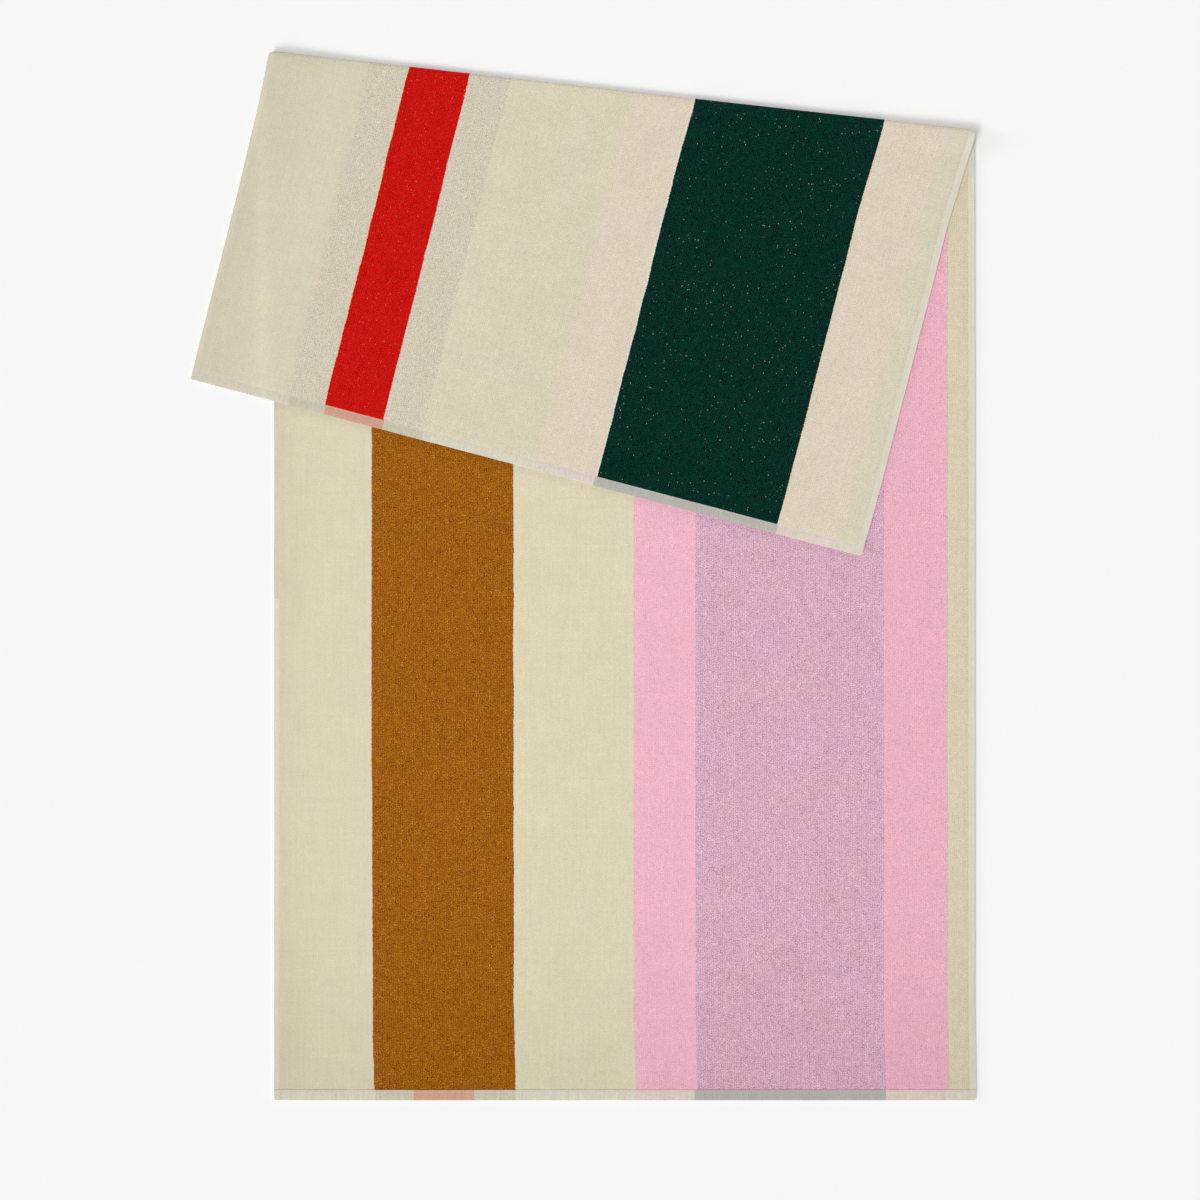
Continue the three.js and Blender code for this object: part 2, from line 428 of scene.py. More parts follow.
def thickness_losses(u, from_hem, turned):
    """How much thinner than the pile the upper and the lower side are at a place."""
    from_left, from_right = u, cloth_width - u
    near_left = from_left < from_right
    from_edge = min(from_left, from_right)
    side_loss = read_section(left_section if near_left else right_section, from_edge)
    side_under = read_section(left_under if near_left else right_under, from_edge)
    past_hem = smooth(from_hem, hem_width - 0.6 * mm, hem_width + 2.0 * mm)
    side_loss *= selvedge_share_at_hem + (1.0 - selvedge_share_at_hem) * past_hem
    hem_section = reverse_hem_section if turned > 0.5 else front_hem_section
    upper = max(side_loss, read_section(hem_section, from_hem))
    lower = max(side_under * past_hem, read_section(under_section, from_hem))
    return upper, lower


def face_losses(upper, lower, turned):
    """The losses of the front and of the reverse, which change sides as the cloth turns."""
    return upper * (1.0 - turned) + lower * turned, upper * turned + lower * (1.0 - turned)


def lay_point(u, part, distance):
    """A point of the cloth as it lies: its middle, the way its reverse faces, how far it is
    turned, its distance along the cloth, and its distance from the nearer hem."""
    lengths = part_lengths(u)
    if part == "body":
        middle, reverse, turned = on_body(u, distance)
        return middle, reverse, turned, distance, distance
    if part == "bend":
        middle, reverse, turned = on_bend(u, distance / lengths["bend"])
        return middle, reverse, turned, lengths["body"] + distance, 1.0
    middle, reverse, turned = on_flap(u, distance)
    along = lengths["body"] + lengths["bend"] + distance
    return middle, reverse, turned, along, lengths["flap"] - distance


def shaped_place(u, part, share, offset):
    """The flat place of one grid point, after its corner is rounded and its edges waver."""
    length = part_lengths(u)[part]
    distance = length * share + offset
    at_left = u < cloth_width / 2
    from_edge = u if at_left else cloth_width - u
    if part != "bend":
        from_hem = distance if part == "body" else length - distance
        from_edge, from_hem = round_corner(from_edge, from_hem, corner_radius[part])
        hem_waver = 0.5 * waver_of(u, hem_seed[part])
        from_hem += hem_waver * (1.0 - smooth(from_hem, 0.0, waver_depth))
        distance = from_hem if part == "body" else length - from_hem
        side_waver = waver_of(distance, edge_seed["left" if at_left else "right"])
        from_edge += side_waver * (1.0 - smooth(from_edge, 0.0, waver_depth))
    return (from_edge if at_left else cloth_width - from_edge), distance


def lay_cell(u, part, share, offset):
    """Where the front and the reverse lie at one point of the grid, and its flat coordinates."""
    placed_u, distance = shaped_place(u, part, share, offset)
    middle, reverse, turned, along, from_hem = lay_point(placed_u, part, distance)
    length = part_lengths(u)[part]
    if part == "body":
        from_hem = length * share + offset
    elif part == "flap":
        from_hem = length - (length * share + offset)
    upper, lower = thickness_losses(u, from_hem, turned)
    lump_share = 1.0 if upper == 0.0 else lump_share_at_edges
    for height, size, seed in lumps:
        upper += height * lump_share * unevenness(u, along, size, seed)
    front_loss, reverse_loss = face_losses(upper, lower, turned)
    return (
        middle + reverse * (front_loss - pile_thickness / 2),
        middle + reverse * (pile_thickness / 2 - reverse_loss),
        (placed_u, along),
    )


print("lumps up to", round(sum(lump[0] for lump in lumps) / mm, 2), "mm high")

# %% [markdown]
# ## Weaving the cloth
#
# A grid with one cell for each row and column is the flat front. Extruding all of its faces makes
# the reverse and the rim in one step, which leaves a closed slab. Then every vertex is moved to
# where the cloth lies.
#
# The cloth keeps its flat coordinates, in metres, as a UV map named flat. The stripes are woven
# into the cloth, so their colours must read those flat coordinates and follow every fold.

# %% Build the cloth
front_cloth, reverse_cloth, selvedge_strip, hem_strip = range(4)


def cloth_of_face(cells, in_front):
    """Which of the four cloths a face belongs to, from the grid cells of its corners."""
    column = sum(cell[0] for cell in cells) / len(cells)
    row = sum(cell[1] for cell in cells) / len(cells)
    last_row, last_column = len(rows) - 1, len(columns) - 1
    if row < hem_weave_places["body"] or row > last_row - hem_weave_places["flap"]:
        return hem_strip
    if column < selvedge_weave_place or column > last_column - selvedge_weave_place:
        return selvedge_strip
    return front_cloth if in_front else reverse_cloth


def finished_piece(name, mesh_maker):
    """Turns a bmesh into an object of that name in the scene."""
    mesh = bpy.data.meshes.new(name)
    mesh_maker.to_mesh(mesh)
    mesh_maker.free()
    piece = bpy.data.objects.new(name, mesh)
    bpy.context.scene.collection.objects.link(piece)
    return piece


def build_cloth():
    """The whole towel as one closed slab."""
    mesh_maker = bmesh.new()
    flat_map = mesh_maker.loops.layers.uv.new("flat")
    half = 0.5
    made = bmesh.ops.create_grid(
        mesh_maker, x_segments=len(columns) - 1, y_segments=len(rows) - 1, size=half
    )
    front = set(made["verts"])
    bmesh.ops.extrude_face_region(mesh_maker, geom=mesh_maker.faces[:])
    cell_of = {
        vertex: (round((vertex.co.x + half) * (len(columns) - 1)),
                 round((vertex.co.y + half) * (len(rows) - 1)))
        for vertex in mesh_maker.verts
    }
    laid = {
        (column, row): lay_cell(u, *place)
        for column, u in enumerate(columns) for row, place in enumerate(rows)
    }
    for vertex, cell in cell_of.items():
        front_place, reverse_place, _ = laid[cell]
        vertex.co = front_place if vertex in front else reverse_place
    for face in mesh_maker.faces:
        face.smooth = True
        for corner in face.loops:
            corner[flat_map].uv = laid[cell_of[corner.vert]][2]
        in_front = all(vertex in front for vertex in face.verts)
        face.material_index = cloth_of_face([cell_of[vertex] for vertex in face.verts], in_front)
    bmesh.ops.recalc_face_normals(mesh_maker, faces=mesh_maker.faces[:])
    open_edges = [edge for edge in mesh_maker.edges if not edge.is_manifold]
    print("cloth:", len(mesh_maker.faces), "faces,", len(open_edges), "open edges,",
          round(mesh_maker.calc_volume(signed=True) / mm ** 3 / 1000, 1), "cm3")
    return finished_piece("towel_cloth", mesh_maker)


towel_cloth = build_cloth()

# %% [markdown]
# ## Stitching along the hems
#
# A lockstitch shows on both faces as a line of short, slightly sunk threads. The thread goes
# through the cloth between them. Each visible stitch is a small ball, stretched along the hem and
# pressed flat, so a few dozen faces are enough, and all of them make one piece.
#
# Making hundreds of balls one by one gets slow, so the first is copied, then both are copied,
# and so on. That gives a straight row with one ball in each unit of length. The row is then
# laid along the hems: each ball's number says where it goes.

# %% Stitch the two hems
stitch_pitch = 3.0 * mm
stitch_length, stitch_width, stitch_height = 2.5 * mm, 0.45 * mm, 0.3 * mm
stitch_from_hem, stitch_margin = 8.5 * mm, 4.0 * mm
stitch_stray, stitch_lift = 0.08 * mm, 0.05 * mm
ball_radius = 0.4


def cloth_side(u, part, distance, face):
    """A place on the cloth's front or reverse, and the way out from it."""
    middle, reverse, turned, _, from_hem = lay_point(u, part, distance)
    front_loss, reverse_loss = face_losses(*thickness_losses(u, from_hem, turned), turned)
    if face == "front":
        return middle - reverse * (pile_thickness / 2 - front_loss), -reverse
    return middle + reverse * (pile_thickness / 2 - reverse_loss), reverse


def row_of_balls(mesh_maker, count):
    """Count small balls in a straight row along X, one in each unit of length."""
    bmesh.ops.create_uvsphere(mesh_maker, u_segments=6, v_segments=5, radius=ball_radius)
    lying = Matrix.Rotation(math.pi / 2, 3, "Y")
    bmesh.ops.rotate(mesh_maker, verts=mesh_maker.verts[:], matrix=lying)
    made = 1
    while made < count:
        row = mesh_maker.verts[:] + mesh_maker.edges[:] + mesh_maker.faces[:]
        copied = bmesh.ops.duplicate(mesh_maker, geom=row)
        fresh = [item for item in copied["geom"] if isinstance(item, bmesh.types.BMVert)]
        bmesh.ops.translate(mesh_maker, verts=fresh, vec=(made, 0.0, 0.0))
        made *= 2
    extra = [vertex for vertex in mesh_maker.verts if vertex.co.x > count - 0.5]
    bmesh.ops.delete(mesh_maker, geom=extra, context="VERTS")


def stitch_frames():
    """Where each stitch goes: its middle, and its three directions at their lengths."""
    frames = []
    per_row = int((cloth_width - 2 * stitch_margin) / stitch_pitch)
    for part in ("body", "flap"):
        for face in ("front", "reverse"):
            for index in range(per_row):
                u = stitch_margin + (index + 0.5) * stitch_pitch
                length = part_lengths(u)[part]
                distance = stitch_from_hem if part == "body" else length - stitch_from_hem
                distance += stitch_stray * math.sin(index * 2.4)
                start, out = cloth_side(u - stitch_length / 2, part, distance, face)
                end, _ = cloth_side(u + stitch_length / 2, part, distance, face)
                along = (end - start).normalized()
                side = out.cross(along).normalized()
                middle = (start + end) / 2 + out * stitch_lift
                frames.append((middle, along * stitch_length,
                               side * stitch_width, out * stitch_height))
    return frames


def build_stitches():
    """All of the stitches on both sides of both hems, as one piece."""
    frames = stitch_frames()
    mesh_maker = bmesh.new()
    row_of_balls(mesh_maker, len(frames))
    for vertex in mesh_maker.verts:
        number = round(vertex.co.x)
        middle, along, side, out = frames[number]
        on_ball = (vertex.co - Vector((number, 0.0, 0.0))) / (2 * ball_radius)
        vertex.co = middle + along * on_ball.x + side * on_ball.y + out * on_ball.z
    for face in mesh_maker.faces:
        face.smooth = True
    bmesh.ops.recalc_face_normals(mesh_maker, faces=mesh_maker.faces[:])
    lowest = min(vertex.co.z for vertex in mesh_maker.verts)
    print(len(frames), "stitches with", len(mesh_maker.faces), "faces, lowest",
          round(lowest / mm, 2), "mm")
    return finished_piece("hem_stitches", mesh_maker)


hem_stitches = build_stitches()

# %% [markdown]
# ## Helpers for materials
#
# Colours are written as sRGB hex values, as a dyer's card would give them, and one function turns
# them to the linear values that nodes work in. Another adds a node with its settings and inputs,
# and links an input when it is given another node's output. A Mix node has three sets of sockets
# with the same names, so its colours are reached by number. Two settings come back often: a Mix
# node that mixes colours, and a Map Range node that eases in and out.

# %% Colour and node helpers
mix_first, mix_second, mix_result = 6, 7, 2
colour_mix, soft_ramp = {"data_type": "RGBA"}, {"interpolation_type": "SMOOTHSTEP"}


def linear(colour, strength=1.0):
    """An sRGB hex colour as linear red, green and blue, with strength as its alpha."""
    channels = [int(colour[start:start + 2], 16) / 255 for start in (1, 3, 5)]
    straight = [c / 12.92 if c <= 0.04045 else ((c + 0.055) / 1.055) ** 2.4 for c in channels]
    return straight + [strength]


def add_node(tree, kind, settings=None, inputs=None):
    """Adds a node, sets its properties, and fills its inputs with values or links."""
    node = tree.nodes.new("ShaderNode" + kind)
    for name, value in (settings or {}).items():
        setattr(node, name, value)
    for name, value in (inputs or {}).items():
        if isinstance(value, bpy.types.NodeSocket):
            tree.links.new(value, node.inputs[name])
        else:
            node.inputs[name].default_value = value
    return node


def start_material(name):
    """A new material with an empty node tree and its output node."""
    material = bpy.data.materials.new(name)
    material.use_nodes = True
    material.node_tree.nodes.clear()
    output = add_node(material.node_tree, "OutputMaterial")
    return material, material.node_tree, output


print("cream as linear:", [round(value, 3) for value in linear("#dcd4b9")])

# %% [markdown]
# ## Yarn colours and stripes
#
# The towel is plain wide stripes along its length. A stripe is listed by how far its right border
# is from the left selvedge, in millimetres. Then come its pale and its deep yarn: no two loops
# take the dye or catch the light alike, so each shows some mix of the two. Last come the colour
# and share of its flecks, where a yarn of the other face peeps out between the loops, and how
# wide the blend at its right border is. Most borders are crisp, and where cream turns to a paler
# mix the loops thin out gradually, except at the reverse's first border: its deeper cream,
# blended over 56 mm, is painted shade on the flap's left part, which hangs past the lying part.

# %% Stripes of the front and of the reverse
front_stripes = [
    # right border, pale yarn, deep yarn, fleck, fleck share, blend
    (97.4, "#e6ddc1", "#dbd3b5", "#efe8d4", 0.10, 0.3),
    (238.6, "#ba761c", "#793900", "#e0a552", 0.55, 0.3),
    (358.3, "#e7dfc1", "#d9d1b3", "#efe8d2", 0.10, 0.3),
    (420.0, "#ffc7d7", "#e5abbb", "#fbd9e2", 0.15, 0.3),
    (608.0, "#f7c9de", "#bb8ea4", "#86698a", 0.34, 0.3),
    (671.8, "#fdc3d3", "#dea5b4", "#f8d3dc", 0.15, 0.3),
    (700.0, "#e5dbbe", "#cfc6a9", "#ece4cb", 0.10, 0.3),
]
reverse_stripes = [
    # Painted shade: a deeper cream blended over 56 mm, on the flap's left part past the lying part.
    (38.0, "#dbd4be", "#cec7af", "#e6e0cf", 0.10, 56.0),
    (97.5, "#e0dac3", "#d3cdb4", "#ebe5d3", 0.10, 12.0),
    (136.5, "#e6ddc9", "#c3baa6", "#8f8270", 0.40, 0.3),
    (137.5, "#efd6be", "#e4c3a8", "#f2e0cf", 0.10, 0.3),
    (198.0, "#db1e17", "#b20000", "#ee7048", 0.16, 0.3),
    (238.7, "#e6ddc9", "#c3baa6", "#8f8270", 0.40, 3.0),
    (358.0, "#e6dec6", "#cfc9ad", "#ece6d0", 0.10, 8.0),
    (419.7, "#ebddca", "#d2c7b4", "#f0e6d8", 0.10, 0.3),
    (420.7, "#efe9d8", "#e2dcc8", "#f4f0e4", 0.10, 0.3),
    (608.3, "#083c32", "#000f0b", "#9fbfa6", 0.08, 0.3),
    (673.0, "#ebddca", "#d2c6b3", "#f0e6d8", 0.10, 12.0),
    (700.0, "#e5ddc7", "#d0c9b2", "#ece5d2", 0.10, 0.3),
]
print(len(front_stripes), "stripes on the front,", len(reverse_stripes), "on the reverse")

# %% [markdown]
# ## Patterns that follow the weave
#
# Every pattern is worked out in the cloth's flat coordinates, so it follows the fold. A colour
# ramp holds one level step for each stripe, and a number says which step a place is on. It grows
# by one at each border, quickly where the border is crisp and slowly where it is blended.
#
# Yarn lies in cells, not in a smooth cloud, so grain comes from Voronoi cells that are as long
# and as wide as the thing they stand for. Their chance colours tell one yarn from the next.

# %% Helpers for stripes and woven grain
step_share = 0.1
wander_size, wander_depth = (150 * mm, 60 * mm), 0.4 * mm
# How far along the cloth the stripes lean, and by how much at the hem.
hem_leans = ((450 * mm, 1.0 * mm), (90 * mm, 1.6 * mm))


def stripe_number(tree, across, stripes):
    """How many borders are passed at a place, as a share of all of them."""
    count = 0.0
    for stripe in stripes[:-1]:
        border, blend = stripe[0] * mm, stripe[-1] * mm
        passed = add_node(tree, "MapRange", None, {
            "Value": across, "From Min": border - blend / 2, "From Max": border + blend / 2})
        count = add_node(tree, "Math", {"operation": "ADD"},
                         {0: count, 1: passed.outputs[0]}).outputs[0]
    return add_node(tree, "Math", {"operation": "DIVIDE"},
                    {0: count, 1: len(stripes) - 1.0}).outputs[0]


def stripe_ramp(tree, number, stripes, colour_column, share_column=None):
    """A colour ramp with one level step for each stripe, read by the stripe's number."""
    ramp = add_node(tree, "ValToRGB", None, {"Fac": number})
    last = len(stripes) - 1
    stops = []
    for index, stripe in enumerate(stripes):
        share = 1.0 if share_column is None else stripe[share_column]
        colour = linear(stripe[colour_column], share)
        stops.append((max(index - step_share, 0.0) / last, colour))
        stops.append((min(index + step_share, last) / last, colour))
    elements = ramp.color_ramp.elements
    while len(elements) < len(stops):
        elements.new(0.5)
    for element, (place, colour) in zip(elements, stops):
        element.position = place
        element.color = colour
    return ramp


def stripe_place(tree, flat, shift_at_hem):
    """How far across the cloth a flat place is, as the stripes see it. The stripes wander a
    little along the cloth, and beside the first hem they lean right, the left ones most."""
    axes = add_node(tree, "SeparateXYZ", None, {"Vector": flat})
    spread = add_node(tree, "VectorMath", {"operation": "MULTIPLY"},
                      {0: flat, 1: (1 / wander_size[0], 1 / wander_size[1], 0.0)})
    wander = add_node(tree, "TexNoise", {"noise_dimensions": "2D"}, {
        "Vector": spread.outputs[0], "Scale": 1.0, "Detail": 3.0, "Roughness": 0.6})
    stray = add_node(tree, "MapRange", None, {
        "Value": wander.outputs["Fac"], "From Min": 0.3, "From Max": 0.7,
        "To Min": -wander_depth, "To Max": wander_depth})
    from_right = add_node(tree, "MapRange", None, {
        "Value": axes.outputs["X"], "From Max": cloth_width, "To Min": 1.0, "To Max": 0.0})
    place = add_node(tree, "Math", {"operation": "ADD"},
                     {0: axes.outputs["X"], 1: stray.outputs[0]})
    for reach, lean in hem_leans:
        leaning = add_node(tree, "MapRange", soft_ramp, {
            "Value": axes.outputs["Y"], "From Min": 0.0, "From Max": reach,
            "To Min": -lean * shift_at_hem, "To Max": 0.0})
        place = add_node(tree, "Math", {"operation": "MULTIPLY_ADD"}, {
            0: leaning.outputs[0], 1: from_right.outputs[0], 2: place.outputs[0]})
    return place.outputs[0]


def woven_cells(tree, flat, size, randomness):
    """Cells of one yarn feature each, with a size across and along the cloth. Gives the distance
    from the cell's centre, three chance numbers for the cell, and its centre in the flat cloth."""
    counted = add_node(tree, "VectorMath", {"operation": "DIVIDE"}, {0: flat, 1: (*size, 1.0)})
    cells = add_node(tree, "TexVoronoi", {"voronoi_dimensions": "2D"}, {
        "Vector": counted.outputs[0], "Scale": 1.0, "Randomness": randomness})
    chances = add_node(tree, "SeparateColor", None, {"Color": cells.outputs["Color"]})
    centre = add_node(tree, "VectorMath", {"operation": "MULTIPLY"},
                      {0: cells.outputs["Position"], 1: (*size, 1.0)})
    return cells.outputs["Distance"], chances.outputs, centre.outputs[0]


def mottle(tree, flat, size, low, high):
    """Slow change over the cloth between low and high, in patches of about that size."""
    spread = add_node(tree, "VectorMath", {"operation": "DIVIDE"}, {0: flat, 1: (*size, 1.0)})
    cloud = add_node(tree, "TexNoise", {"noise_dimensions": "2D"}, {
        "Vector": spread.outputs[0], "Scale": 1.0, "Detail": 3.0, "Roughness": 0.55})
    return add_node(tree, "MapRange", None, {
        "Value": cloud.outputs["Fac"], "From Min": 0.25, "From Max": 0.75,
        "To Min": low, "To Max": high}).outputs[0]


def shaded(tree, colour, parts):
    """A colour multiplied by each of some brightnesses and tints in turn."""
    for part in parts:
        colour = add_node(tree, "Mix", {"data_type": "RGBA", "blend_type": "MULTIPLY"}, {
            0: 1.0, mix_first: colour, mix_second: part}).outputs[mix_result]
    return colour


print("stripes stray up to", round(wander_depth / mm, 1), "mm from straight")

# %% [markdown]
# ## Terry
#
# Terry is woven with slack warp ends that stand up as loops on both faces. To the eye it is a
# matt, soft surface of tufts about a millimetre apart, each turned its own way, so each catches
# the light a little differently: here that is a painted highlight and painted shade on each loop,
# and painted shade darkens the gaps between the tufts. It has no gloss, only the faint pale
# bloom of cotton fibre at a grazing angle, which sheen gives.
#
# Four sets of cells do this. The finest gives each bit of yarn its own mix of pale and deep, and
# its centres decide the stripe, so a border runs round whole loops as it does in cloth. Coarser
# ones paint a highlight on whole loops' tops with shade round them, or the other way round, and
# place the flecks, and one with a cell for each tuft raises the bumps and paints shade in the
# gaps. Real yarn is about 0.3 mm thick, too fine to show, so its cells are coarser.

# %% Terry material
yarn_size, loop_size = (0.7 * mm, 0.85 * mm), (2.2 * mm, 2.4 * mm)
fleck_size, tuft_size = (1.6 * mm, 2.4 * mm), (0.95 * mm, 1.2 * mm)
fibre_size, tint_size = (0.35 * mm, 0.5 * mm), (40 * mm, 55 * mm)
tuft_height = 0.4 * mm
warm_tint, cool_tint = (1.008, 1.0, 0.972, 1.0), (0.997, 1.0, 1.024, 1.0)
# Size across and along of each kind of patch, and how far its brightness strays.
terry_patches = (((34 * mm, 30 * mm), 0.02), ((2.6 * mm, 60 * mm), 0.02),
                 ((90 * mm, 3.0 * mm), 0.012))


def terry(name, stripes, shift_at_hem, left_painted_shade, seed):
    """Looped pile in those stripes. Near the left selvedge it has painted shade, the wide band
    going down to left_painted_shade.
    """
    material, tree, output = start_material(name)
    flat = add_node(tree, "UVMap", {"uv_map": "flat"}).outputs["UV"]
    seeded = add_node(tree, "VectorMath", {"operation": "ADD"},
                      {0: flat, 1: (seed, seed * 1.7, 0.0)}).outputs[0]

    # Each bit of yarn has its own mix of its stripe's two colours. Over that, each loop gets a
    # painted highlight on its top and painted shade in the hollow round it, or the other way round
    # for a loop that lies over.
    _, yarn_chances, yarn_centre = woven_cells(tree, flat, yarn_size, 0.8)
    number = stripe_number(tree, stripe_place(tree, yarn_centre, shift_at_hem), stripes)
    pale = stripe_ramp(tree, number, stripes, 1)
    deep = stripe_ramp(tree, number, stripes, 2)
    loop_distance, loop_chances, _ = woven_cells(tree, seeded, loop_size, 0.9)
    # Painted highlight on a loop's top and painted shade round it.
    painted_loop_light_and_shade = add_node(tree, "MapRange", soft_ramp, {
        "Value": loop_distance, "From Min": 0.13, "From Max": 0.38, "To Min": 1.9, "To Max": -0.75})
    standing = add_node(tree, "Math", {"operation": "SUBTRACT"}, {0: loop_chances[0], 1: 0.5})
    yarn_share = add_node(tree, "Math", {"operation": "MULTIPLY_ADD"},
                          {0: yarn_chances[0], 1: 0.6, 2: 0.2})
    share = add_node(tree, "Math", {"operation": "MULTIPLY_ADD", "use_clamp": True}, {
        0: painted_loop_light_and_shade.outputs[0], 1: standing.outputs[0], 2: yarn_share.outputs[0]})
    yarn_colour = add_node(tree, "Mix", colour_mix, {
        0: share.outputs[0], mix_first: deep.outputs["Color"], mix_second: pale.outputs["Color"]})

    # Flecks are small ovals along the warp, and few of them show their full colour.
    fleck = stripe_ramp(tree, number, stripes, 3, 4)
    fleck_distance, fleck_chances, _ = woven_cells(tree, seeded, fleck_size, 1.0)
    fleck_share = add_node(tree, "Math", {"operation": "LESS_THAN"},
                           {0: fleck_chances[0], 1: fleck.outputs["Alpha"]})
    oval = add_node(tree, "MapRange", soft_ramp, {
        "Value": fleck_distance, "From Min": 0.14, "From Max": 0.30, "To Min": 1.0, "To Max": 0.0})
    fullness = add_node(tree, "Math", {"operation": "POWER"}, {0: fleck_chances[1], 1: 4.0})
    for part in (oval, fullness):
        fleck_share = add_node(tree, "Math", {"operation": "MULTIPLY"},
                               {0: fleck_share.outputs[0], 1: part.outputs[0]})
    flecked = add_node(tree, "Mix", colour_mix, {
        0: fleck_share.outputs[0], mix_first: yarn_colour.outputs[mix_result],
        mix_second: fleck.outputs["Color"]})

    # Painted shade in the gaps between tufts, and slow chance changes of brightness and tint over
    # the cloth. Towards the left selvedge the colour is darkened as painted shade: a narrow band on
    # both faces, and a wide one as well on the front.
    tuft_distance, _, _ = woven_cells(tree, flat, tuft_size, 0.85)
    # Painted shade between the tufts.
    painted_gap_shade = add_node(tree, "MapRange", soft_ramp, {
        "Value": tuft_distance, "From Min": 0.25, "From Max": 0.85, "To Min": 1.0, "To Max": 0.93})
    tint = add_node(tree, "Mix", colour_mix, {
        0: mottle(tree, seeded, tint_size, 0.0, 1.0), mix_first: warm_tint, mix_second: cool_tint})
    shades = [tint.outputs[mix_result], painted_gap_shade.outputs[0]]
    for size, depth in terry_patches:
        shades.append(mottle(tree, seeded, size, 1.0 - depth, 1.0 + depth))
    axes = add_node(tree, "SeparateXYZ", None, {"Vector": flat})
    # Painted shade towards the left selvedge, narrow on both faces and wide on the front.
    for reach, brightness in ((16 * mm, 0.955), (58 * mm, left_painted_shade)):
        painted_edge_shade = add_node(tree, "MapRange", soft_ramp, {
            "Value": axes.outputs["X"], "From Min": left_selvedge, "From Max": reach,
            "To Min": brightness, "To Max": 1.0})
        shades.append(painted_edge_shade.outputs[0])
    colour = shaded(tree, flecked.outputs[mix_result], shades)

    # The tufts' domes, with fine yarn on them.
    dome = add_node(tree, "Math", {"operation": "MULTIPLY_ADD"},
                    {0: tuft_distance, 1: -0.9, 2: 1.0})
    height = add_node(tree, "Math", {"operation": "ADD"},
                      {0: dome.outputs[0], 1: mottle(tree, flat, fibre_size, -0.12, 0.12)})
    bump = add_node(tree, "Bump", None,
                    {"Strength": 0.35, "Distance": tuft_height, "Height": height.outputs[0]})
    shader = add_node(tree, "BsdfPrincipled", None, {
        "Base Color": colour, "Roughness": 0.95, "IOR": 1.45, "Specular IOR Level": 0.05,
        "Sheen Weight": 0.3, "Sheen Roughness": 0.35, "Normal": bump.outputs[0]})
    tree.links.new(shader.outputs[0], output.inputs["Surface"])
    return material


terry_front = terry("cotton_terry_front", front_stripes, 1.0, 0.945, 0.0)
terry_reverse = terry("cotton_terry_reverse", reverse_stripes, 0.0, 1.0, 3.1)
print("terry:", round(cloth_width / tuft_size[0]), "tufts across the cloth")

# %% [markdown]
# ## Selvedge
#
# The selvedge has no loops: the same cotton is woven flat and tight, so it is paler and smoother
# than the pile and shows its picks as fine ribs across it. Real picks are about half a millimetre
# apart, which is too fine to show, so the ribs are drawn a little over a millimetre apart.

# %% Flat-woven selvedge material
end_size, pick_size = (0.9 * mm, 14 * mm), (5.0 * mm, 1.1 * mm)
crossing_size = (0.9 * mm, 1.1 * mm)
rib_height, weave_patch, warmth_patch = 0.2 * mm, (12 * mm, 40 * mm), (8 * mm, 50 * mm)
dull_from = 500 * mm


def flat_weave(name, colour_of, end_depth, crossing_depth):
    """A flat weave: colour_of gives its colour at a flat place, and the depths are how much its
    lengthwise ends and its single crossings differ in brightness."""
    material, tree, output = start_material(name)
    flat = add_node(tree, "UVMap", {"uv_map": "flat"}).outputs["UV"]
    end_distance, end_chances, _ = woven_cells(tree, flat, end_size, 0.7)
    pick_distance, pick_chances, _ = woven_cells(tree, flat, pick_size, 0.6)
    _, crossing_chances, _ = woven_cells(tree, flat, crossing_size, 0.6)
    shades = [mottle(tree, flat, weave_patch, 0.985, 1.015)]
    for chances, depth in ((end_chances, end_depth), (pick_chances, 0.02),
                           (crossing_chances, crossing_depth)):
        shades.append(add_node(tree, "MapRange", None, {
            "Value": chances[0], "To Min": 1.0 - depth, "To Max": 1.0 + depth}).outputs[0])
    rib = add_node(tree, "Math", {"operation": "ADD"}, {0: pick_distance, 1: end_distance})
    height = add_node(tree, "Math", {"operation": "MULTIPLY_ADD"},
                      {0: rib.outputs[0], 1: -0.6, 2: 1.0})
    bump = add_node(tree, "Bump", None,
                    {"Strength": 0.4, "Distance": rib_height, "Height": height.outputs[0]})
    shader = add_node(tree, "BsdfPrincipled", None, {
        "Base Color": shaded(tree, colour_of(tree, flat), shades), "Roughness": 0.85, "IOR": 1.45,
        "Specular IOR Level": 0.3, "Sheen Weight": 0.08, "Sheen Roughness": 0.5,
        "Normal": bump.outputs[0]})
    tree.links.new(shader.outputs[0], output.inputs["Surface"])
    return material


def selvedge_colour(tree, flat):
    """Cream cotton, slightly warmer in places. The left selvedge is duller from half a metre
    along, which takes in the flap."""
    cream = add_node(tree, "Mix", colour_mix, {
        0: mottle(tree, flat, warmth_patch, 0.0, 1.0),
        mix_first: linear("#ddd7c4"), mix_second: linear("#dcd5c4")})
    axes = add_node(tree, "SeparateXYZ", None, {"Vector": flat})
    on_left = add_node(tree, "Math", {"operation": "LESS_THAN"},
                       {0: axes.outputs["X"], 1: cloth_width / 2})
    far_along = add_node(tree, "Math", {"operation": "GREATER_THAN"},
                         {0: axes.outputs["Y"], 1: dull_from})
    is_dull = add_node(tree, "Math", {"operation": "MULTIPLY"},
                       {0: on_left.outputs[0], 1: far_along.outputs[0]})
    return add_node(tree, "Mix", colour_mix, {
        0: is_dull.outputs[0], mix_first: cream.outputs[mix_result],
        mix_second: linear("#d2ccb9")}).outputs[mix_result]


selvedge_cloth = flat_weave("flat_woven_selvedge", selvedge_colour, 0.025, 0.02)
print("selvedge picks every", round(pick_size[1] / mm, 2), "mm")

